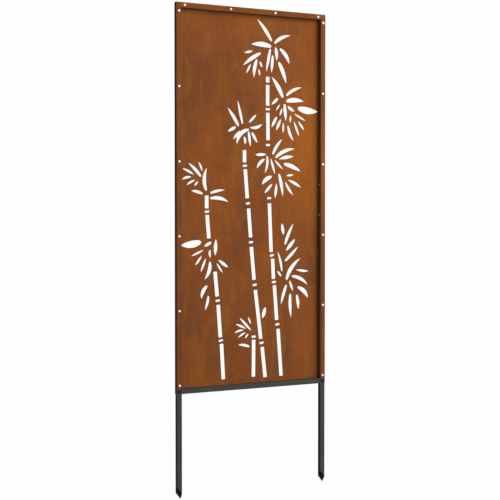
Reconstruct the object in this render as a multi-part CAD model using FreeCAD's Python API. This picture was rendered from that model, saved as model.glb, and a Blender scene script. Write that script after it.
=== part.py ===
"""Garden privacy screen: a sheet with bamboo cut-outs and a folded rim, on a tube frame with ground stakes.

Millimetres, +Z up, +X right, front towards -Y. The origin is on the ground line: the middle of the width and
of the rim's depth, level with the panel's lower edge. The stakes reach below it.
"""
import FreeCAD, Part
import math
import os

Vector = FreeCAD.Vector

# Overall sizes
screen_width = 600.0
panel_height = 1414.0
stake_length = 386.0

# Square tube of the uprights and bars
tube_side = 19.0
tube_wall = 1.2
tube_corner_radius = 1.0
stake_point_height = 50.0
bar_ground_gap = 1.0

# Folded rim and cut-out sheet
rim_width = 18.5
rim_thickness = 0.8
rim_bend_share = 0.55
tube_clearance = 0.2
sheet_thickness = 1.0
sheet_edge_clearance = 0.2
notch_clearance = 2.5

# Bolts that clamp the rim, the tube and the sheet
rim_bolt_diameter = 5.0
rim_bolt_head_diameter = 9.5
rim_bolt_head_height = 2.8
rim_nut_width = 8.0
rim_nut_height = 2.7
rim_bolt_inset = 32.0
side_bolt_count = 6
top_bolt_count = 4

# Black bolts through each upright, below the side rims
foot_bolt_diameter = 6.0
foot_bolt_head_diameter = 12.0
foot_bolt_head_height = 3.3
foot_nut_width = 10.0
foot_nut_height = 3.2

# Small screws in the inner side of each upright
wall_screw_diameter = 3.5
wall_screw_head_diameter = 6.6
wall_screw_head_height = 2.2
wall_screw_length = 6.0
wall_screw_spacing = 116.0

# What all fasteners share
fastener_sides = 8
hole_clearance = 0.25
thread_clearance = 0.05
bolt_end_length = 0.8
head_shoulder_share = 0.84
head_shoulder_height_share = 0.55
head_flat_share = 0.45

# Bamboo cut-outs, and the margin round the field that their shares divide
drawing_margin = 20.0
culm_width = 14.5
culm_end_bulge = 0.8
node_ring_width = 17.0
node_ring_height = 8.5
node_ring_bulge_share = 0.1
leaf_belly_share = 0.42
leaf_stalk_share = 0.62
leaf_heel_share = 0.3
slim_leaf_belly_share = 0.5
broad_leaf_belly_share = 0.28

cut_overrun = 2.0

# Places that follow from the sizes
half_width = screen_width / 2
rim_depth = rim_thickness + tube_side + sheet_thickness
rim_front = -rim_depth / 2
rim_inner_bend_radius = tube_corner_radius * rim_bend_share
rim_bend_radius = rim_inner_bend_radius + rim_thickness
tube_front = rim_front + rim_thickness
tube_back = tube_front + tube_side
tube_middle = (tube_front + tube_back) / 2
sheet_front = tube_back
sheet_back = sheet_front + sheet_thickness
sheet_half_width = half_width - rim_thickness - sheet_edge_clearance
sheet_top = panel_height - rim_thickness - sheet_edge_clearance
upright_outside = half_width - rim_thickness - tube_clearance
upright_inside = upright_outside - tube_side
upright_middle = (upright_outside + upright_inside) / 2
upright_top = panel_height - rim_thickness - tube_clearance
top_bar_middle = upright_top - tube_side / 2
bottom_bar_middle = bar_ground_gap + tube_side / 2
clear_width = screen_width - 2 * drawing_margin
clear_height = panel_height - drawing_margin

# The bamboo is drawn on the clear part of the sheet. A point is a share of the clear width, from the middle,
# and a share of the clear height, from the lower edge. Each stretch of culm runs from its top to its foot.
culm_shares = [
    # Tall culm, from its tip down to the leaves that cross it
    [(0.120, 0.838, 0.120, 0.822)],
    [(0.120, 0.816, 0.120, 0.760), (0.121, 0.741, 0.123, 0.667)],
    # Tall culm, from the leaves down to the ground
    [
        (0.133, 0.497, 0.146, 0.365),
        (0.157, 0.347, 0.163, 0.292),
        (0.170, 0.275, 0.187, 0.180),
        (0.197, 0.156, 0.220, 0.027),
    ],
    # Middle culm
    [
        (-0.048, 0.639, -0.048, 0.606),
        (-0.043, 0.588, -0.028, 0.510),
        (-0.019, 0.483, -0.004, 0.405),
        (0.001, 0.380, 0.021, 0.291),
        (0.030, 0.264, 0.070, 0.131),
        (0.080, 0.109, 0.102, 0.026),
    ],
    # Left culm, above and below its spray
    [(-0.316, 0.517, -0.316, 0.483), (-0.313, 0.466, -0.301, 0.404)],
    [
        (-0.258, 0.316, -0.243, 0.250),
        (-0.236, 0.228, -0.221, 0.141),
        (-0.213, 0.124, -0.200, 0.029),
    ],
    # Short culm
    [(0.018, 0.130, 0.016, 0.030)],
]

# Node rings at free ends of a culm: the ring's middle
loose_ring_shares = [(0.122, 0.654), (0.131, 0.511), (0.018, 0.138)]

# A leaf with a blunt stalk end: stalk, tip, width and bow. Width and bow are shares of the clear width, and a
# bow above zero bends the leaf to the left of the way from stalk to tip.
blunt_leaf_shares = [
    # Crown of the tall culm
    (0.146, 0.936, 0.043, 0.991, 0.025, -0.005),
    (0.173, 0.930, 0.288, 0.953, 0.023, 0.011),
    (0.139, 0.920, 0.000, 0.922, 0.034, -0.007),
    (0.138, 0.911, 0.109, 0.850, 0.021, 0.000),
    (0.157, 0.894, 0.148, 0.848, 0.021, 0.000),
    (0.179, 0.916, 0.186, 0.882, 0.023, 0.003),
    (0.215, 0.914, 0.280, 0.875, 0.027, 0.010),
    (0.204, 0.877, 0.257, 0.821, 0.029, 0.005),
    # Side twig of the crown
    (0.064, 0.899, -0.059, 0.864, 0.025, -0.005),
    (0.039, 0.880, 0.021, 0.833, 0.025, -0.006),
    # Upper right spray
    (0.230, 0.786, 0.148, 0.839, 0.030, -0.006),
    (0.261, 0.791, 0.373, 0.814, 0.021, 0.009),
    (0.263, 0.775, 0.388, 0.776, 0.032, 0.007),
    (0.193, 0.780, 0.148, 0.763, 0.020, 0.000),
    (0.245, 0.765, 0.255, 0.720, 0.024, 0.000),
    (0.271, 0.706, 0.314, 0.667, 0.020, -0.007),
    (0.184, 0.729, 0.148, 0.702, 0.021, 0.000),
    # Crown of the middle culm
    (-0.093, 0.704, -0.170, 0.751, 0.023, -0.003),
    (-0.063, 0.710, -0.098, 0.772, 0.018, 0.000),
    (-0.114, 0.699, -0.168, 0.687, 0.021, 0.000),
    (-0.023, 0.694, -0.102, 0.654, 0.027, -0.022),
    (-0.018, 0.687, -0.005, 0.648, 0.020, 0.000),
    (0.007, 0.685, 0.046, 0.658, 0.020, 0.000),
    # Spray across the tall culm
    (0.159, 0.631, 0.229, 0.672, 0.021, 0.006),
    (0.182, 0.622, 0.323, 0.646, 0.025, 0.014),
    (0.093, 0.615, 0.041, 0.590, 0.021, -0.007),
    (0.116, 0.623, 0.098, 0.578, 0.018, 0.009),
    (0.144, 0.569, 0.079, 0.547, 0.027, -0.008),
    (0.205, 0.575, 0.232, 0.514, 0.023, 0.004),
    (0.246, 0.604, 0.366, 0.584, 0.029, 0.006),
    # Head of the left culm
    (-0.359, 0.568, -0.443, 0.602, 0.021, -0.004),
    (-0.321, 0.532, -0.314, 0.590, 0.025, 0.015),
    (-0.348, 0.522, -0.423, 0.529, 0.020, -0.004),
    (-0.286, 0.524, -0.189, 0.532, 0.018, 0.004),
    (-0.286, 0.510, -0.163, 0.500, 0.024, 0.012),
    # Lower left spray
    (-0.288, 0.393, -0.334, 0.383, 0.021, 0.000),
    (-0.293, 0.340, -0.332, 0.296, 0.025, 0.012),
    (-0.318, 0.278, -0.354, 0.245, 0.025, -0.008),
    (-0.305, 0.251, -0.330, 0.214, 0.018, 0.004),
    # Lower right spray
    (0.250, 0.387, 0.313, 0.443, 0.022, 0.004),
    (0.252, 0.341, 0.348, 0.380, 0.021, -0.002),
    (0.225, 0.314, 0.193, 0.367, 0.017, -0.005),
    (0.218, 0.300, 0.191, 0.314, 0.015, 0.000),
    (0.261, 0.291, 0.366, 0.347, 0.027, 0.016),
    (0.305, 0.298, 0.418, 0.273, 0.023, 0.013),
    (0.350, 0.267, 0.421, 0.237, 0.029, 0.011),
    (0.284, 0.284, 0.309, 0.257, 0.017, 0.000),
    (0.257, 0.273, 0.218, 0.221, 0.022, -0.002),
    (0.288, 0.248, 0.295, 0.184, 0.023, -0.004),
    (0.338, 0.245, 0.350, 0.206, 0.023, 0.002),
    # Low leaf by the short culm
    (-0.016, 0.112, -0.095, 0.118, 0.018, -0.005),
]

# A slim leaf, pointed at both ends: the same six shares
slim_leaf_shares = [
    # Side twig of the crown
    (-0.050, 0.898, 0.011, 0.904, 0.016, 0.000),
    (-0.002, 0.870, -0.036, 0.843, 0.014, 0.000),
    (0.062, 0.878, 0.079, 0.862, 0.016, 0.000),
    (0.054, 0.857, 0.063, 0.839, 0.013, 0.000),
    # Upper right spray
    (0.211, 0.765, 0.180, 0.748, 0.012, 0.000),
    (0.227, 0.755, 0.209, 0.734, 0.014, 0.000),
    (0.268, 0.762, 0.318, 0.748, 0.021, -0.004),
    (0.314, 0.742, 0.402, 0.723, 0.014, 0.000),
    (0.291, 0.737, 0.286, 0.716, 0.014, 0.000),
    (0.313, 0.722, 0.355, 0.679, 0.016, 0.000),
    (0.346, 0.722, 0.393, 0.697, 0.016, 0.000),
    (0.218, 0.726, 0.182, 0.694, 0.020, 0.000),
    (0.236, 0.717, 0.234, 0.687, 0.014, 0.000),
    # Crown of the middle culm
    (-0.018, 0.712, 0.038, 0.735, 0.018, 0.000),
    (-0.011, 0.700, 0.080, 0.710, 0.020, -0.012),
    (-0.080, 0.691, -0.129, 0.667, 0.017, 0.000),
    (-0.052, 0.676, -0.046, 0.654, 0.019, 0.005),
    # Spray across the tall culm
    (0.202, 0.617, 0.313, 0.625, 0.023, 0.003),
    (0.111, 0.629, 0.029, 0.627, 0.020, 0.000),
    (0.141, 0.620, 0.175, 0.575, 0.017, 0.000),
    (0.168, 0.615, 0.236, 0.588, 0.014, 0.000),
    (0.155, 0.550, 0.096, 0.524, 0.020, 0.000),
    (0.186, 0.552, 0.175, 0.510, 0.020, 0.000),
    (0.248, 0.557, 0.311, 0.519, 0.018, -0.005),
    (0.270, 0.561, 0.368, 0.540, 0.020, 0.004),
    (0.257, 0.572, 0.313, 0.575, 0.014, 0.000),
    # Head of the left culm
    (-0.373, 0.605, -0.348, 0.580, 0.014, 0.004),
    (-0.405, 0.571, -0.484, 0.587, 0.016, -0.004),
    (-0.421, 0.565, -0.486, 0.558, 0.016, -0.006),
    (-0.396, 0.558, -0.455, 0.544, 0.014, -0.002),
    (-0.375, 0.554, -0.402, 0.542, 0.013, 0.000),
    # Lower left spray
    (-0.336, 0.374, -0.423, 0.358, 0.014, 0.000),
    (-0.350, 0.359, -0.396, 0.333, 0.015, 0.000),
    (-0.321, 0.353, -0.359, 0.315, 0.016, 0.000),
    (-0.291, 0.375, -0.289, 0.353, 0.016, -0.006),
    (-0.252, 0.402, -0.257, 0.358, 0.025, 0.000),
    (-0.236, 0.347, -0.164, 0.326, 0.021, 0.000),
    (-0.248, 0.339, -0.204, 0.312, 0.013, 0.000),
    # Lower right spray
    (0.225, 0.443, 0.238, 0.411, 0.023, 0.000),
    (0.255, 0.367, 0.325, 0.400, 0.025, 0.000),
    (0.330, 0.316, 0.427, 0.311, 0.017, -0.003),
    (0.104, 0.217, 0.082, 0.186, 0.027, 0.000),
    # Spray of the short culm
    (0.002, 0.154, -0.084, 0.191, 0.017, 0.000),
    (-0.038, 0.160, -0.113, 0.174, 0.014, -0.003),
    (-0.054, 0.157, -0.120, 0.150, 0.014, -0.006),
    (-0.038, 0.151, -0.095, 0.137, 0.013, -0.003),
    (-0.021, 0.147, -0.045, 0.135, 0.013, 0.000),
    (-0.002, 0.172, -0.023, 0.192, 0.012, 0.000),
]

# The two broad leaves that reach for the rim
broad_leaf_shares = [
    (0.354, 0.756, 0.494, 0.750, 0.045, -0.004),
    (-0.365, 0.394, -0.496, 0.387, 0.045, 0.004),
]


def box(x0, x1, y0, y1, z0, z1):
    return Part.makeBox(x1 - x0, y1 - y0, z1 - z0, Vector(x0, y0, z0))


def mirrored(shape):
    """The same piece on the other side of the screen."""
    return shape.mirror(Vector(0, 0, 0), Vector(1, 0, 0))


def line(a, b):
    return Part.LineSegment(a, b).toShape()


def arc(a, through, b):
    return Part.Arc(a, through, b).toShape()


def sheet_point(x_share, z_share):
    """A point of the bamboo drawing, on the sheet's front face."""
    return Vector(x_share * clear_width, sheet_front, z_share * clear_height)


def left_of(direction):
    """The unit vector square to a direction in the sheet, to its left as seen from the front."""
    return Vector(-direction.z, 0, direction.x).normalize()


def opening(edges):
    """A cutter through the sheet, from a closed outline on its front face."""
    face = Part.Face(Part.Wire(Part.__sortEdges__(edges)))
    face.translate(Vector(0, -cut_overrun, 0))
    return face.extrude(Vector(0, sheet_thickness + 2 * cut_overrun, 0))


def leaf_sides(stalk, tip, width, bow, belly_share):
    """The middles of a leaf's two long sides, and the vector to its left."""
    left = left_of(tip - stalk)
    belly = stalk + (tip - stalk) * belly_share + left * bow
    return belly + left * (width / 2), belly - left * (width / 2), left


def blunt_leaf(shares, belly_share=leaf_belly_share):
    x0, z0, x1, z1, width_share, bow_share = shares
    stalk = sheet_point(x0, z0)
    tip = sheet_point(x1, z1)
    width = width_share * clear_width
    left_side, right_side, left = leaf_sides(stalk, tip, width, bow_share * clear_width, belly_share)
    half_stalk = width * leaf_stalk_share / 2
    stalk_left = stalk + left * half_stalk
    stalk_right = stalk - left * half_stalk
    heel = stalk - (tip - stalk).normalize() * (width * leaf_heel_share)
    return opening([
        arc(stalk_left, left_side, tip),
        arc(tip, right_side, stalk_right),
        line(stalk_right, heel),
        line(heel, stalk_left),
    ])


def slim_leaf(shares):
    x0, z0, x1, z1, width_share, bow_share = shares
    stalk = sheet_point(x0, z0)
    tip = sheet_point(x1, z1)
    left_side, right_side, _ = leaf_sides(
        stalk, tip, width_share * clear_width, bow_share * clear_width, slim_leaf_belly_share)
    return opening([arc(stalk, left_side, tip), arc(tip, right_side, stalk)])


def culm_piece(top, foot, width, bulge):
    """One stretch of culm, or one node ring, with both ends rounded."""
    along = (foot - top).normalize()
    left = left_of(along)
    top_corners = [top + along * bulge + left * (side * width / 2) for side in (1, -1)]
    foot_corners = [foot - along * bulge + left * (side * width / 2) for side in (1, -1)]
    return opening([
        arc(top_corners[0], top, top_corners[1]),
        line(top_corners[1], foot_corners[1]),
        arc(foot_corners[1], foot, foot_corners[0]),
        line(foot_corners[0], top_corners[0]),
    ])


def node_ring(middle, along):
    half = along * (node_ring_height / 2)
    bulge = node_ring_height * node_ring_bulge_share
    return culm_piece(middle - half, middle + half, node_ring_width, bulge)


def culm(stretches):
    """The stretches of one culm, with a node ring in the middle of each gap between two of them."""
    ends = [(sheet_point(x0, z0), sheet_point(x1, z1)) for x0, z0, x1, z1 in stretches]
    pieces = [culm_piece(top, foot, culm_width, culm_end_bulge) for top, foot in ends]
    for (_, upper_foot), (lower_top, _) in zip(ends, ends[1:]):
        along = (lower_top - upper_foot).normalize()
        pieces.append(node_ring((upper_foot + lower_top) / 2, along))
    return pieces


def bamboo_openings():
    openings = []
    for stretches in culm_shares:
        openings += culm(stretches)
    openings += [node_ring(sheet_point(x, z), Vector(0, 0, -1)) for x, z in loose_ring_shares]
    openings += [blunt_leaf(shares) for shares in blunt_leaf_shares]
    openings += [slim_leaf(shares) for shares in slim_leaf_shares]
    openings += [blunt_leaf(shares, broad_leaf_belly_share) for shares in broad_leaf_shares]
    return openings


def evenly(first, last, count):
    return [first + (last - first) * k / (count - 1) for k in range(count)]


def rim_bolt_places():
    """The middles of the bolts on the rim's front face: up both sides and along the top."""
    heights = evenly(rim_bolt_inset, panel_height - rim_bolt_inset, side_bolt_count)
    across = evenly(rim_bolt_inset - half_width, half_width - rim_bolt_inset, top_bolt_count)
    sides = [(side * upright_middle, z) for side in (-1, 1) for z in heights]
    return sides + [(x, top_bar_middle) for x in across]


def foot_bolt_places():
    return [(side * upright_middle, bottom_bar_middle) for side in (-1, 1)]


def wall_screw_heights():
    return [panel_height / 2 + side * wall_screw_spacing / 2 for side in (-1, 1)]


def polygon(radius, sides, z):
    """The corners of a regular polygon square to Z, the first one repeated at the end."""
    turns = [2 * math.pi * k / sides for k in range(sides + 1)]
    return [Vector(radius * math.cos(turn), radius * math.sin(turn), z) for turn in turns]


def flat_face(corners):
    return Part.Face(Part.makePolygon(corners))


def stacked(polygons):
    """A solid with flat faces through polygons of as many corners, one above the other."""
    faces = [flat_face(polygons[0]), flat_face(polygons[-1])]
    for low, high in zip(polygons, polygons[1:]):
        for k in range(len(low) - 1):
            faces.append(flat_face([low[k], low[k + 1], high[k + 1], high[k], low[k]]))
    return Part.makeSolid(Part.makeShell(faces))


def round_bar(diameter, length):
    """A bar along +Z from the origin, near enough round. A shank and its hole have their sides in line."""
    return flat_face(polygon(diameter / 2, fastener_sides, 0)).extrude(Vector(0, 0, length))


def pointing_back(shape, places, y):
    """Copies of a shape that points along +Z, turned to point back along +Y at each place."""
    copies = []
    for x, z in places:
        copy = shape.copy()
        copy.rotate(Vector(0, 0, 0), Vector(1, 0, 0), -90)
        copy.translate(Vector(x, y, z))
        copies.append(copy)
    return copies


def pointing_right(shape, x):
    """Copies of a shape that points along +Z, turned to point along +X at the heights of the wall screws."""
    copies = []
    for z in wall_screw_heights():
        copy = shape.copy()
        copy.rotate(Vector(0, 0, 0), Vector(0, 1, 0), 90)
        copy.translate(Vector(x, tube_middle, z))
        copies.append(copy)
    return copies


def through_holes(places, diameter):
    """Cutters for bolt holes from the front to the back of the screen."""
    hole = round_bar(diameter + 2 * hole_clearance, rim_depth + 2 * cut_overrun)
    return pointing_back(hole, places, rim_front - cut_overrun)


def wall_screw_holes():
    """Cutters for the screws through the inner wall of the right upright."""
    hole = round_bar(wall_screw_diameter + 2 * hole_clearance, wall_screw_length + cut_overrun)
    return pointing_right(hole, upright_inside - cut_overrun)


def all_through_holes():
    rim_holes = through_holes(rim_bolt_places(), rim_bolt_diameter)
    return rim_holes + through_holes(foot_bolt_places(), foot_bolt_diameter)


def bamboo_sheet():
    plate = box(-sheet_half_width, sheet_half_width, sheet_front, sheet_back, 0, sheet_top)
    return plate.cut(bamboo_openings() + all_through_holes())


def square_tube(length):
    """A tube along +Z from the origin, with rounded outer corners."""
    half = tube_side / 2
    half_inside = half - tube_wall
    bar = box(-half, half, -half, half, 0, length)
    upright_edges = [e for e in bar.Edges if abs(e.tangentAt(e.FirstParameter).z) > 0.5]
    bore = box(-half_inside, half_inside, -half_inside, half_inside, -cut_overrun, length + cut_overrun)
    return bar.makeFillet(tube_corner_radius, upright_edges).cut(bore)


def stake_cutter():
    """What is cut from an upright's lower end, so that its back right corner is left as the point."""
    rise = stake_point_height / 2 / tube_side
    half = tube_side / 2 + cut_overrun

    def on_slant(x, y):
        return Vector(x, y, (tube_side / 2 - x) * rise + (tube_side / 2 - y) * rise)
    corners = [on_slant(x, y) for x, y in ((-half, -half), (half, -half), (half, half), (-half, half))]
    slant = Part.Face(Part.makePolygon(corners + corners[:1]))
    return slant.extrude(Vector(0, 0, -2 * stake_point_height))


def upright(side):
    """One long tube: the lower end is the ground stake, the upper end is inside the rim's top corner."""
    tube = square_tube(stake_length + upright_top).cut(stake_cutter())
    tube.translate(Vector(side * upright_middle, tube_middle, -stake_length))
    screw_holes = wall_screw_holes()
    if side < 0:
        screw_holes = [mirrored(hole) for hole in screw_holes]
    return tube.cut(all_through_holes() + screw_holes)


def bar(height):
    """A level tube between the two uprights, with its ends against them."""
    tube = square_tube(2 * upright_inside)
    tube.rotate(Vector(0, 0, 0), Vector(0, 1, 0), 90)
    tube.translate(Vector(-upright_inside, tube_middle, height))
    return tube.cut(all_through_holes())


def rim_profile():
    """The folded rim's section: outer lip and front flange, as a face in X and Y.

    X runs inwards from the outer lip, Y runs back from the front face.
    """
    outer = rim_bend_radius
    arc_middle_share = 1 - math.sqrt(0.5)
    outer_slack = outer * arc_middle_share
    inner_slack = rim_thickness + rim_inner_bend_radius * arc_middle_share

    def at(x, y):
        return Vector(x, y, 0)
    edges = [
        line(at(0, rim_depth), at(0, outer)),
        arc(at(0, outer), at(outer_slack, outer_slack), at(outer, 0)),
        line(at(outer, 0), at(rim_width, 0)),
        line(at(rim_width, 0), at(rim_width, rim_thickness)),
        line(at(rim_width, rim_thickness), at(outer, rim_thickness)),
        arc(at(outer, rim_thickness), at(inner_slack, inner_slack), at(rim_thickness, outer)),
        line(at(rim_thickness, outer), at(rim_thickness, rim_depth)),
        line(at(rim_thickness, rim_depth), at(0, rim_depth)),
    ]
    return Part.Face(Part.Wire(edges))


def mitre_cutter(above):
    """The half of the top left corner above or below its mitre line."""
    reach = rim_width + cut_overrun
    outer = Vector(-half_width - cut_overrun, 0, panel_height + cut_overrun)
    inner = Vector(-half_width + reach, 0, panel_height - reach)
    third = Vector(inner.x, 0, outer.z) if above else Vector(outer.x, 0, inner.z)
    corner = Part.Face(Part.makePolygon([outer, inner, third, outer]))
    corner.translate(Vector(0, rim_front - cut_overrun, 0))
    return corner.extrude(Vector(0, rim_depth + 2 * cut_overrun, 0))


def left_rim():
    """The folded rim of the left side. Its flange stops above the bottom bar, its lip runs on down."""
    rim = rim_profile().extrude(Vector(0, 0, panel_height))
    rim.translate(Vector(-half_width, rim_front, 0))
    notch_top = bottom_bar_middle + tube_side / 2 + notch_clearance
    notch = box(
        -half_width - cut_overrun, -half_width + rim_width + cut_overrun,
        rim_front - cut_overrun, rim_front + rim_bend_radius,
        -cut_overrun, notch_top)
    return rim.cut([mitre_cutter(above=True), notch] + all_through_holes())


def top_rim():
    """The folded rim along the top, mitred against the two side rims."""
    rim = rim_profile().extrude(Vector(0, 0, screen_width))
    rim.rotate(Vector(0, 0, 0), Vector(0, 1, 0), 90)
    rim.translate(Vector(-half_width, rim_front, panel_height))
    below = mitre_cutter(above=False)
    return rim.cut([below, mirrored(below)] + all_through_holes())


def bolt(diameter, length, head_diameter, head_height):
    """A round-headed bolt along +Z, with the underside of its head at the origin."""
    head_radius = head_diameter / 2
    shoulder_height = head_height * head_shoulder_height_share
    head = stacked([
        polygon(head_radius * head_flat_share, fastener_sides, -head_height),
        polygon(head_radius * head_shoulder_share, fastener_sides, -shoulder_height),
        polygon(head_radius, fastener_sides, 0),
    ])
    return head.fuse(round_bar(diameter, length)).removeSplitter()


def hexagon_nut(width, height, bolt_diameter):
    """A nut along +Z, seated on the origin, by its width across the flats."""
    corner_radius = width / math.sqrt(3)
    blank = flat_face(polygon(corner_radius, 6, 0)).extrude(Vector(0, 0, height))
    return blank.cut(round_bar(bolt_diameter + 2 * thread_clearance, height))


def clamp_length(head_seat, nut_height):
    """From the seat of the head, through the tube and the sheet, to just past the nut."""
    return sheet_back - head_seat + nut_height + bolt_end_length


def rim_bolts():
    length = clamp_length(rim_front, rim_nut_height)
    shape = bolt(rim_bolt_diameter, length, rim_bolt_head_diameter, rim_bolt_head_height)
    return Part.makeCompound(pointing_back(shape, rim_bolt_places(), rim_front))


def rim_nuts():
    nut = hexagon_nut(rim_nut_width, rim_nut_height, rim_bolt_diameter)
    return Part.makeCompound(pointing_back(nut, rim_bolt_places(), sheet_back))


def foot_bolts():
    length = clamp_length(tube_front, foot_nut_height)
    shape = bolt(foot_bolt_diameter, length, foot_bolt_head_diameter, foot_bolt_head_height)
    return Part.makeCompound(pointing_back(shape, foot_bolt_places(), tube_front))


def foot_nuts():
    nut = hexagon_nut(foot_nut_width, foot_nut_height, foot_bolt_diameter)
    return Part.makeCompound(pointing_back(nut, foot_bolt_places(), sheet_back))


def right_wall_screws():
    """The screws in the inner side of the right upright."""
    screw = bolt(wall_screw_diameter, wall_screw_length, wall_screw_head_diameter, wall_screw_head_height)
    return Part.makeCompound(pointing_right(screw, upright_inside))


pieces = {
    "bamboo_sheet": bamboo_sheet(),
    "left_rim": left_rim(),
    "right_rim": mirrored(left_rim()),
    "top_rim": top_rim(),
    "left_upright": upright(-1),
    "right_upright": upright(1),
    "top_bar": bar(top_bar_middle),
    "bottom_bar": bar(bottom_bar_middle),
    "rim_bolts": rim_bolts(),
    "rim_nuts": rim_nuts(),
    "foot_bolts": foot_bolts(),
    "foot_nuts": foot_nuts(),
    "left_wall_screws": mirrored(right_wall_screws()),
    "right_wall_screws": right_wall_screws(),
}

os.makedirs("parts", exist_ok=True)
for name, shape in pieces.items():
    shape.exportStep("parts/" + name + ".step")
    print(name, len(shape.Solids), "solids", shape.isValid(), round(shape.Volume), "mm3")
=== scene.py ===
"""A garden privacy screen: a rusted steel sheet with a cut-out bamboo, in folded rims on black tubes."""
import math

import bmesh
import bpy
from mathutils import Matrix, Vector


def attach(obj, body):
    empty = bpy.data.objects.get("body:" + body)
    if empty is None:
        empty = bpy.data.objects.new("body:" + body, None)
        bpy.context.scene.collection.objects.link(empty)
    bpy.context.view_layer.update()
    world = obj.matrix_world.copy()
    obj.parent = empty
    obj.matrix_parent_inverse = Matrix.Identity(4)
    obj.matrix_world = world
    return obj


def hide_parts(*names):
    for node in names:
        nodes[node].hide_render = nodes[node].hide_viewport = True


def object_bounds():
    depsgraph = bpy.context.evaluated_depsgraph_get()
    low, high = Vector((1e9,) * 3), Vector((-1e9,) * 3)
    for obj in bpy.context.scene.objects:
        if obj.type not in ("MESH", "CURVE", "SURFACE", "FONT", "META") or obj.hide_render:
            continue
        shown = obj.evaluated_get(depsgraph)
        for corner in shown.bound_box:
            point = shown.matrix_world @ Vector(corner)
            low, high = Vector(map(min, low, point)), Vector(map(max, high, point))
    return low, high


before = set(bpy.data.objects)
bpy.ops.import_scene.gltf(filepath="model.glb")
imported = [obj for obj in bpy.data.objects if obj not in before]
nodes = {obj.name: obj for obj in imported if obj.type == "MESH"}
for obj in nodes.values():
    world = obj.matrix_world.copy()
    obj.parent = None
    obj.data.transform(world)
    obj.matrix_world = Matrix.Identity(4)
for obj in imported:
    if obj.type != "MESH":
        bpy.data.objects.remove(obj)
cad_low, cad_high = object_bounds()

# The screen, in metres, as in the part's solids
mm = 0.001
half_width = 300 * mm
panel_height = 1414 * mm
rim_front = -10.4 * mm
tube_front = -9.6 * mm
tube_middle = -0.1 * mm
sheet_back = 10.4 * mm
upright_middle = 289.5 * mm
upright_inside = 280 * mm
top_bar_middle = 1403.5 * mm
top_bar_under = 1394 * mm
bottom_bar_middle = 10.5 * mm

# Fasteners
rim_bolt_inset = 32 * mm
side_bolt_count = 6
top_bolt_count = 4
wall_screw_spacing = 116 * mm
wall_screw_length = 6 * mm
bolt_end_length = 0.8 * mm
rim_bolt = dict(diameter=5 * mm, head_diameter=9.5 * mm, head_height=2.8 * mm)
foot_bolt = dict(diameter=6 * mm, head_diameter=12 * mm, head_height=3.3 * mm)
wall_screw = dict(diameter=3.5 * mm, head_diameter=6.6 * mm, head_height=2.2 * mm)
rim_nut = dict(width=8 * mm, height=2.7 * mm, bolt_diameter=5 * mm)
foot_nut = dict(width=10 * mm, height=3.2 * mm, bolt_diameter=6 * mm)
bolt_end_chamfer_share = 0.1
dome_share = 0.88
dome_steps = 8
nut_sides = 6
nut_face_share = 0.96
nut_chamfer_slope = math.tan(math.radians(30))
nut_lead_in_share = 0.05
round_steps = 24
merge_distance = 0.001 * mm
sharp_angle = math.radians(32)
spread_turn = math.radians(137.5)

# Wear of the rims: how far from their outer corner it starts, and is full
flange_wear_start = 2.6 * mm
flange_wear_full = 0.4 * mm
lip_wear_start = 3 * mm
lip_wear_full = 0.6 * mm

# Stains, and soil with painted bounce light, on the tubes: how far from an edge or a face they start, are
# full and end, and from what height up
run_off_start = 0.1 * mm
run_off_full = 0.6 * mm
soiled_lit_face_full = 0.2 * mm
soiled_lit_face_end = 0.5 * mm
stain_and_bounce_lowest = 23.5 * mm
stain_and_bounce_lowest_full = 27 * mm

# How the rust turns warmer to the right and upwards, and round a place at the right, just above mid-height
warmer_to_the_right = 0.06
warmer_upwards = 0.02
warm_zone_scale = (5, 0, 3.2)
warm_zone_shift = (-1.2, 0, -2.7)

# Light and view
studio_radius = 25
studio_segments = 48
studio_rings = 24
light_target = (0, 0, 0.6)
world_strength = 0.18
sensor_width = 36
lens_length = 67.745
lens_shift = -0.04
camera_place = (-1.3666, -3.2319, 0.6646)
camera_dip = 1.17
camera_turn = 22.785


class Value:
    """What one socket gives, with the operators that shader maths needs."""

    def __init__(self, finish, socket):
        self.finish = finish
        self.socket = socket

    def maths(self, operation, first, second):
        return self.finish.node("ShaderNodeMath", {"operation": operation}, {0: first, 1: second})

    def __add__(self, other):
        return self.maths("ADD", self, other)

    def __radd__(self, other):
        return self.maths("ADD", other, self)

    def __sub__(self, other):
        return self.maths("SUBTRACT", self, other)

    def __rsub__(self, other):
        return self.maths("SUBTRACT", other, self)

    def __mul__(self, other):
        return self.maths("MULTIPLY", self, other)

    def __rmul__(self, other):
        return self.maths("MULTIPLY", other, self)


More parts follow.
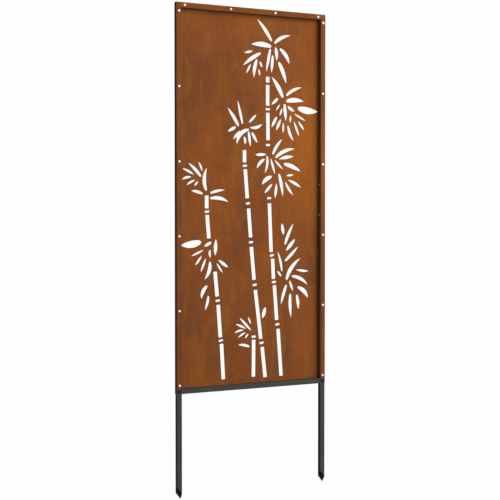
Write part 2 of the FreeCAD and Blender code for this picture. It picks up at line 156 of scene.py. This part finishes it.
class Finish:
    """A procedural material on Object coordinates, and the nodes it is made of."""

    def __init__(self, name):
        self.material = bpy.data.materials.new(name)
        self.material.use_nodes = True
        self.tree = self.material.node_tree
        self.tree.nodes.clear()
        self.place = self.node("ShaderNodeTexCoord", output="Object")

    def node(self, kind, settings=None, inputs=None, output=0):
        """Adds a node: its settings first, then the values or links of its sockets."""
        node = self.tree.nodes.new(kind)
        for name, value in (settings or {}).items():
            setattr(node, name, value)
        for key, value in (inputs or {}).items():
            if isinstance(value, Value):
                self.tree.links.new(value.socket, node.inputs[key])
            else:
                node.inputs[key].default_value = value
        return Value(self, node.outputs[output])

    def stretched(self, scale, shift=(0, 0, 0)):
        """Object coordinates, scaled along each axis and moved."""
        return self.node("ShaderNodeMapping", None, {"Vector": self.place, "Scale": scale, "Location": shift})

    def noise(self, scale, detail, roughness=0.5, distortion=0.0, place=None):
        return self.node("ShaderNodeTexNoise", None, {
            "Vector": place or self.place, "Scale": scale, "Detail": detail,
            "Roughness": roughness, "Distortion": distortion,
        })

    def cells(self, scale, place):
        """Distance to the nearest of many scattered points."""
        return self.node("ShaderNodeTexVoronoi", None, {"Vector": place, "Scale": scale})

    def between(self, value, low, high, at_low=0.0, at_high=1.0):
        """A smooth step from at_low, at low, to at_high, at high. Low may be the greater of the two."""
        return self.node("ShaderNodeMapRange", {"interpolation_type": "SMOOTHSTEP"}, {
            "Value": value, "From Min": low, "From Max": high, "To Min": at_low, "To Max": at_high,
        })

    def mix(self, factor, first, second, blend="MIX"):
        """Two colours mixed."""
        settings = {"data_type": "RGBA", "blend_type": blend}
        return self.node("ShaderNodeMix", settings, {0: factor, 6: first, 7: second}, 2)

    def tint(self, base, mask, tone, strength):
        """A tone laid over a colour where a mask says so."""
        return self.mix(mask * strength, base, tone)

    def shaded(self, base, shade):
        """A colour made darker or lighter by a number."""
        grey = self.node("ShaderNodeCombineColor", None, {0: shade, 1: shade, 2: shade})
        return self.mix(1.0, base, grey, "MULTIPLY")

    def axis(self, letter):
        return self.node("ShaderNodeSeparateXYZ", None, {0: self.place}, letter)

    def facing(self, letter):
        """How squarely a face points along an axis, either way."""
        normal = self.node("ShaderNodeTexCoord", output="Normal")
        return self.absolute(self.node("ShaderNodeSeparateXYZ", None, {0: normal}, letter))

    def length(self, vector):
        return self.node("ShaderNodeVectorMath", {"operation": "LENGTH"}, {0: vector}, "Value")

    def absolute(self, value):
        return self.node("ShaderNodeMath", {"operation": "ABSOLUTE"}, {0: value})

    def bump(self, height, depth, strength, under=None):
        inputs = {"Height": height, "Distance": depth, "Strength": strength}
        if under:
            inputs["Normal"] = under
        return self.node("ShaderNodeBump", None, inputs)

    def surface(self, inputs):
        """The finished material, from what its one shader is given."""
        shader = self.node("ShaderNodeBsdfPrincipled", None, inputs)
        output = self.tree.nodes.new("ShaderNodeOutputMaterial")
        self.tree.links.new(shader.socket, output.inputs["Surface"])
        return self.material


def colour(red, green, blue):
    """A colour from its screen values, 0 to 255, as shaders take it."""
    def linear(value):
        share = value / 255
        return share / 12.92 if share <= 0.04045 else ((share + 0.055) / 1.055) ** 2.4
    return linear(red), linear(green), linear(blue), 1


# Tones of the rust
cool_brown = colour(115, 68, 38)
warm_orange = colour(153, 84, 28)
streak_orange = colour(140, 73, 25)
sunned_orange = colour(166, 94, 27)
ochre_band = colour(147, 92, 36)
red_band = colour(128, 66, 33)
dull_brown = colour(108, 66, 38)
pit_brown = colour(70, 40, 24)
# Worn edges, and painted shade on the rims' outer lips
wear_and_shade_brown = colour(88, 52, 32)

# Tones of the black tubes and of the fasteners
coat_black = colour(61, 59, 56)
coat_dusty = colour(76, 72, 68)
coat_scratched = colour(92, 90, 86)
# Soil and painted bounce light on shaded inner faces
coat_soil_and_bounce_light = colour(115, 97, 78)
coat_rusty = colour(118, 69, 36)
zinc_pale = colour(244, 244, 243)
zinc_bright = colour(253, 253, 252)
plate_black = colour(15, 14, 13)
plate_rubbed = colour(40, 39, 38)

# Tones of the studio
paper_shade = (0.985, 0.985, 0.985, 1)
paper_white = (1, 1, 1, 1)
no_colour = (0, 0, 0, 1)


def cut_edge(rust):
    """The sheet's thickness, seen where it was cut: faces that point neither to the front nor to the back."""
    return rust.between(rust.facing("Y"), 0.7, 0.3)


def rubbed_edge(rust, across, outside):
    """Where a rim's bend is rubbed: near the corner of its flange and its lip, broken up along its length."""
    near_lip = rust.between(across, outside - flange_wear_start, outside - flange_wear_full)
    near_flange = rust.between(rust.axis("Y"), rim_front + lip_wear_start, rim_front + lip_wear_full)
    broken = rust.noise(55, detail=4, roughness=0.65)
    return near_lip * near_flange * rust.between(broken, 0.38, 0.6)


def side_rim_wear_and_lip_shade(rust):
    """The rubbed bend, and painted shade that darkens the outer lip."""
    bend = rubbed_edge(rust, rust.absolute(rust.axis("X")), half_width)
    lip_painted_shade = rust.between(rust.facing("X"), 0.6, 0.9)
    return bend + 0.9 * lip_painted_shade * (1 - bend)


def top_rim_edge(rust):
    return rubbed_edge(rust, rust.axis("Z"), panel_height)


def rusted_steel(name, streak_scale, band_scale, shift, shade, edge):
    """Weathering steel: wide blotches, streaks along the piece, grain, pits and the tone of its edges, with
    painted shade on the rims' outer lips.
    """
    rust = Finish(name)
    moved = rust.stretched((1, 1, 1), shift)
    drawn_out = rust.stretched((1, 1, 0.55), shift)
    blotch = rust.noise(4.5, detail=4, roughness=0.55, distortion=0.4, place=drawn_out)
    patch = rust.noise(17, detail=5, roughness=0.65, distortion=0.6, place=moved)
    grain = rust.noise(240, detail=6, roughness=0.7, place=moved)
    pits = rust.cells(330, moved)
    along = rust.stretched(streak_scale, shift)
    streak = rust.noise(1, detail=5, roughness=0.6, distortion=0.2, place=along)
    banded = rust.stretched(band_scale, shift)
    band = rust.noise(1, detail=2, distortion=0.3, place=banded)

    above_middle = rust.axis("Z") - panel_height / 2
    lean = warmer_to_the_right * rust.axis("X") + warmer_upwards * above_middle
    warm = rust.between(blotch * 0.6 + patch * 0.4 + lean, 0.33, 0.69)
    from_warm_zone = rust.length(rust.stretched(warm_zone_scale, warm_zone_shift))
    sunned = rust.between(from_warm_zone + 0.8 * (patch - 0.5), 1.1, 0.15)
    dull = rust.between(patch, 0.5, 0.75) * rust.between(streak, 0.6, 0.35)
    pit = rust.between(pits, 0.1, 0.25, 1, 0) * rust.between(patch, 0.45, 0.6)
    wear_and_shade = edge(rust)

    base = rust.mix(warm, cool_brown, warm_orange)
    base = rust.tint(base, rust.between(streak, 0.42, 0.68), streak_orange, strength=0.45)
    base = rust.tint(base, sunned, sunned_orange, strength=0.7)
    base = rust.tint(base, rust.between(band, 0.5, 0.72), ochre_band, strength=0.45)
    base = rust.tint(base, rust.between(band, 0.5, 0.3), red_band, strength=0.3)
    base = rust.tint(base, dull, dull_brown, strength=0.6)
    base = rust.shaded(base, rust.between(grain, 0.35, 0.62, 0.86 * shade, 1.08 * shade))
    base = rust.tint(base, pit, pit_brown, strength=0.5)
    # Worn edges, and painted shade on the rims' outer lips
    base = rust.tint(base, wear_and_shade, wear_and_shade_brown, strength=0.55)
    rough = 0.72 + 0.16 * grain - 0.08 * warm - 0.18 * wear_and_shade
    coarse = rust.bump(patch * 0.5 + streak * 0.5, depth=0.6 * mm, strength=0.35)
    fine = rust.bump(grain - pit * 0.6, depth=0.25 * mm, strength=0.5, under=coarse)
    return rust.surface({
        "Base Color": base, "Roughness": rough, "Normal": fine, "Specular IOR Level": 0.1,
    })


def powder_coat():
    """Black powder coat: fine orange peel, dust, scuffs, soil and painted bounce light on inner faces, and
    rust run off the flanges.
    """
    coat = Finish("black_powder_coat")
    peel = coat.noise(620, detail=3, roughness=0.55)
    cloud = coat.noise(14, detail=4, roughness=0.6)
    scuff = coat.noise(1, detail=6, roughness=0.7, distortion=0.3, place=coat.stretched((160, 160, 9)))
    dust = coat.between(cloud, 0.45, 0.7)
    scratch = coat.between(scuff, 0.66, 0.74)

    above_foot = coat.between(coat.axis("Z"), stain_and_bounce_lowest, stain_and_bounce_lowest_full)
    from_inside = coat.absolute(coat.axis("X") - upright_inside)
    inner_side_soil_and_bounce = coat.between(from_inside, soiled_lit_face_end, soiled_lit_face_full)
    from_under = coat.absolute(coat.axis("Z") - top_bar_under)
    underside_soil_and_bounce = coat.between(from_under, soiled_lit_face_end, soiled_lit_face_full)
    left_inside = -upright_inside
    beside_flange = coat.between(coat.axis("X"), left_inside - run_off_start, left_inside - run_off_full)
    under_flange = coat.between(coat.axis("Z"), top_bar_under + run_off_start, top_bar_under + run_off_full)
    run_off = coat.between(beside_flange * above_foot + under_flange, 0, 1)

    base = coat.tint(coat_black, dust, coat_dusty, strength=0.5)
    base = coat.tint(base, scratch, coat_scratched, strength=0.25)
    # Soil and painted bounce light from the rust sheet, on the right upright's inner side and the top bar's
    # underside
    base = coat.tint(base, inner_side_soil_and_bounce * above_foot + underside_soil_and_bounce, coat_soil_and_bounce_light, strength=0.8)
    base = coat.tint(base, run_off, coat_rusty, strength=0.85)
    rough = 0.56 + 0.14 * dust + 0.1 * peel
    relief = coat.bump(peel, depth=0.06 * mm, strength=0.3)
    return coat.surface({
        "Base Color": base, "Roughness": rough, "Normal": relief, "Specular IOR Level": 0.3,
    })


def plated_zinc():
    """Bright zinc: pale, with soft clouds and fine turning marks."""
    zinc = Finish("bright_zinc_plate")
    cloud = zinc.noise(180, detail=3, roughness=0.6)
    mark = zinc.noise(2400, detail=2)
    base = zinc.mix(zinc.between(cloud, 0.35, 0.65), zinc_pale, zinc_bright)
    rough = 0.3 + 0.14 * cloud + 0.06 * mark
    relief = zinc.bump(mark, depth=0.02 * mm, strength=0.35)
    return zinc.surface({
        "Base Color": base, "Roughness": rough, "Normal": relief, "Metallic": 0.25, "Specular IOR Level": 0.8,
    })


def blackened_zinc():
    """Black plated fasteners, with a bare glint where the tool has rubbed."""
    zinc = Finish("black_zinc_plate")
    cloud = zinc.noise(260, detail=4, roughness=0.6)
    base = zinc.tint(plate_black, zinc.between(cloud, 0.58, 0.72), plate_rubbed, strength=0.4)
    rough = 0.55 + 0.2 * cloud
    relief = zinc.bump(cloud, depth=0.04 * mm, strength=0.3)
    return zinc.surface({
        "Base Color": base, "Roughness": rough, "Normal": relief, "Specular IOR Level": 0.25,
    })


def domed_bolt(diameter, head_diameter, head_height, length):
    """A bolt along +Z with a plain domed head, the underside of its head at the origin."""
    bm = bmesh.new()
    shank = diameter / 2
    head = head_diameter / 2
    end_chamfer = diameter * bolt_end_chamfer_share
    head_corner = (head, -head)
    outline = [
        (0, length), (shank - end_chamfer, length), (shank, length - end_chamfer), (shank, 0),
        (head, 0), head_corner, (0, -head),
    ]
    points = [bm.verts.new((radius, 0, z)) for radius, z in outline]
    for start, end in zip(points, points[1:]):
        bm.edges.new((start, end))
    bmesh.ops.bevel(bm, geom=[points[outline.index(head_corner)]], offset=head * dome_share,
                    segments=dome_steps, profile=0.5, affect="VERTICES", material=-1)
    dome = [vert for vert in bm.verts if vert.co.z < 0]
    bmesh.ops.scale(bm, verts=dome, vec=(1, 1, head_height / head))
    bmesh.ops.spin(bm, geom=bm.verts[:] + bm.edges[:], cent=(0, 0, 0), axis=(0, 0, 1), dvec=(0, 0, 0),
                   angle=2 * math.pi, steps=round_steps, use_merge=True)
    bmesh.ops.remove_doubles(bm, verts=bm.verts, dist=merge_distance)
    return bm


def edges_round(ring):
    """The edges of a ring of vertices, each once."""
    return list(dict.fromkeys(edge for vert in ring for edge in vert.link_edges))


def hexagon_nut(width, height, bolt_diameter):
    """A nut along +Z, seated on the origin, with its outer corners chamfered."""
    bm = bmesh.new()
    corner = width / math.sqrt(3)
    hexagon = bmesh.ops.create_circle(bm, segments=nut_sides, radius=corner)["verts"]
    split = bmesh.ops.subdivide_edges(bm, edges=edges_round(hexagon), cuts=round_steps // nut_sides - 1)
    foot = [item for item in split["geom"] if isinstance(item, bmesh.types.BMEdge)]
    walls = bmesh.ops.extrude_edge_only(bm, edges=foot)["geom"]
    top = [item for item in walls if isinstance(item, bmesh.types.BMEdge)]
    face_radius = width / 2 * nut_face_share
    for vert in (item for item in walls if isinstance(item, bmesh.types.BMVert)):
        vert.co.z = height - (vert.co.xy.length - face_radius) * nut_chamfer_slope

    def ring(radius, z):
        circle = bmesh.ops.create_circle(bm, segments=round_steps, radius=radius,
                                         matrix=Matrix.Translation((0, 0, z)))
        return edges_round(circle["verts"])
    bore = bolt_diameter / 2
    lead_in = width * nut_lead_in_share
    rings = [top, ring(face_radius, height), ring(bore + lead_in, height), ring(bore, height - lead_in),
             ring(bore, 0), foot]
    for first, second in zip(rings, rings[1:]):
        bmesh.ops.bridge_loops(bm, edges=first + second)
    return bm


def repeated(shape, places):
    """One bmesh with a copy of a shape at each placing, each turned differently about its own axis."""
    single = bpy.data.meshes.new("single")
    bmesh.ops.recalc_face_normals(shape, faces=shape.faces)
    shape.to_mesh(single)
    shape.free()
    group = bmesh.new()
    for k, place in enumerate(places):
        before = len(group.verts)
        group.from_mesh(single)
        group.verts.ensure_lookup_table()
        turned = place @ Matrix.Rotation(k * spread_turn, 4, "Z")
        bmesh.ops.transform(group, matrix=turned, verts=group.verts[before:])
    bpy.data.meshes.remove(single)
    return group


def pointing_back(places, y):
    back = Matrix.Rotation(math.radians(-90), 4, "X")
    return [Matrix.Translation((x, y, z)) @ back for x, z in places]


def pointing_out(side):
    """The wall screws' placings on the left, -1, or the right, 1."""
    out = Matrix.Rotation(math.radians(90 * side), 4, "Y")
    heights = [panel_height / 2 + step * wall_screw_spacing / 2 for step in (-1, 1)]
    return [Matrix.Translation((side * upright_inside, tube_middle, z)) @ out for z in heights]


def add_piece(name, bm, material, node):
    """A finished piece that stands for a CAD node."""
    mesh = bpy.data.meshes.new(name)
    bm.to_mesh(mesh)
    bm.free()
    mesh.materials.append(material)
    mesh.shade_smooth()
    mesh.set_sharp_from_angle(angle=sharp_angle)
    piece = bpy.data.objects.new(name, mesh)
    bpy.context.scene.collection.objects.link(piece)
    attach(piece, "root")
    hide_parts(node)


def evenly(first, last, count):
    return [first + (last - first) * k / (count - 1) for k in range(count)]


def clamp_length(head_seat, nut):
    """From under a bolt's head, through the tube and the sheet, to just past its nut."""
    return sheet_back - head_seat + nut["height"] + bolt_end_length


# Finishes of the solids
upright_grain = dict(streak_scale=(42, 42, 4.2), band_scale=(38, 38, 11))
level_grain = dict(streak_scale=(4.2, 42, 42), band_scale=(11, 38, 38))
black_coat = powder_coat()
bright_zinc = plated_zinc()
black_zinc = blackened_zinc()
finishes = {
    "bamboo_sheet": rusted_steel(
        "rusted_sheet", shift=(0, 0, 0), shade=1, edge=cut_edge, **upright_grain),
    "left_rim": rusted_steel(
        "rusted_left_rim", shift=(3.1, 1.7, 0.4), shade=0.9, edge=side_rim_wear_and_lip_shade, **upright_grain),
    "right_rim": rusted_steel(
        "rusted_right_rim", shift=(5.3, 2.9, 7.1), shade=0.85, edge=side_rim_wear_and_lip_shade, **upright_grain),
    "top_rim": rusted_steel(
        "rusted_top_rim", shift=(8.7, 4.3, 2.6), shade=0.82, edge=top_rim_edge, **level_grain),
    "left_upright": black_coat,
    "right_upright": black_coat,
    "top_bar": black_coat,
    "bottom_bar": black_coat,
}
for name, material in finishes.items():
    for material_slot in nodes[name].material_slots:
        material_slot.material = material

# Fasteners, in place of the solids' plain ones
side_heights = evenly(rim_bolt_inset, panel_height - rim_bolt_inset, side_bolt_count)
top_places = evenly(rim_bolt_inset - half_width, half_width - rim_bolt_inset, top_bolt_count)
rim_places = [(side * upright_middle, z) for side in (-1, 1) for z in side_heights]
rim_places += [(x, top_bar_middle) for x in top_places]
foot_places = [(side * upright_middle, bottom_bar_middle) for side in (-1, 1)]
add_piece("zinc_rim_bolts", repeated(
    domed_bolt(**rim_bolt, length=clamp_length(rim_front, rim_nut)),
    pointing_back(rim_places, rim_front),
), bright_zinc, "rim_bolts")
add_piece("zinc_rim_nuts", repeated(
    hexagon_nut(**rim_nut), pointing_back(rim_places, sheet_back),
), bright_zinc, "rim_nuts")
add_piece("black_foot_bolts", repeated(
    domed_bolt(**foot_bolt, length=clamp_length(tube_front, foot_nut)),
    pointing_back(foot_places, tube_front),
), black_zinc, "foot_bolts")
add_piece("black_foot_nuts", repeated(
    hexagon_nut(**foot_nut), pointing_back(foot_places, sheet_back),
), black_zinc, "foot_nuts")
for side, word in ((-1, "left"), (1, "right")):
    add_piece(f"zinc_{word}_wall_screws", repeated(
        domed_bolt(**wall_screw, length=wall_screw_length), pointing_out(side),
    ), bright_zinc, f"{word}_wall_screws")


def pale_studio():
    """A pale floor at the stake points and a wide dome over it."""
    bm = bmesh.new()
    bmesh.ops.create_uvsphere(bm, u_segments=studio_segments, v_segments=studio_rings, radius=studio_radius,
                              matrix=Matrix.Translation((0, 0, cad_low.z)))
    cut = bmesh.ops.bisect_plane(bm, geom=bm.verts[:] + bm.edges[:] + bm.faces[:], plane_co=(0, 0, cad_low.z),
                                 plane_no=(0, 0, -1), clear_outer=True)["geom_cut"]
    bmesh.ops.contextual_create(bm, geom=[item for item in cut if isinstance(item, bmesh.types.BMEdge)])
    bmesh.ops.reverse_faces(bm, faces=bm.faces)
    mesh = bpy.data.meshes.new("pale_studio")
    bm.to_mesh(mesh)
    bm.free()
    paper = Finish("pale_paper")
    tone = paper.mix(paper.noise(0.7, detail=2), paper_shade, paper_white)
    mesh.materials.append(paper.surface({
        "Base Color": no_colour, "Roughness": 1, "Specular IOR Level": 0,
        "Emission Color": tone, "Emission Strength": 1,
    }))
    studio = bpy.data.objects.new("pale_studio", mesh)
    bpy.context.scene.collection.objects.link(studio)
    studio.visible_diffuse = studio.visible_glossy = studio.visible_shadow = False


def area_light(name, place, size, power):
    light = bpy.data.lights.new(name, "AREA")
    light.shape = "DISK"
    light.size = size
    light.energy = power
    lamp = bpy.data.objects.new(name, light)
    bpy.context.scene.collection.objects.link(lamp)
    lamp.location = place
    lamp.rotation_euler = (Vector(light_target) - Vector(place)).to_track_quat("-Z", "Y").to_euler()


pale_studio()
area_light("front_right_key", place=(2.6, -3.71, 2.3), size=6, power=326)
area_light("back_right_fill", place=(2.2, 4.4, 2.4), size=5, power=260)

world = bpy.data.worlds.new("soft_studio")
bpy.context.scene.world = world
world.use_nodes = True
world.node_tree.nodes["Background"].inputs["Color"].default_value = paper_white
world.node_tree.nodes["Background"].inputs["Strength"].default_value = world_strength

view = bpy.data.cameras.new("photo_view")
view.sensor_width = sensor_width
view.lens = lens_length
view.shift_y = lens_shift
camera = bpy.data.objects.new("photo_view", view)
bpy.context.scene.collection.objects.link(camera)
camera.location = camera_place
camera.rotation_euler = (math.radians(90 - camera_dip), 0, math.radians(-camera_turn))
bpy.context.scene.camera = camera
bpy.context.scene.view_settings.view_transform = "Standard"
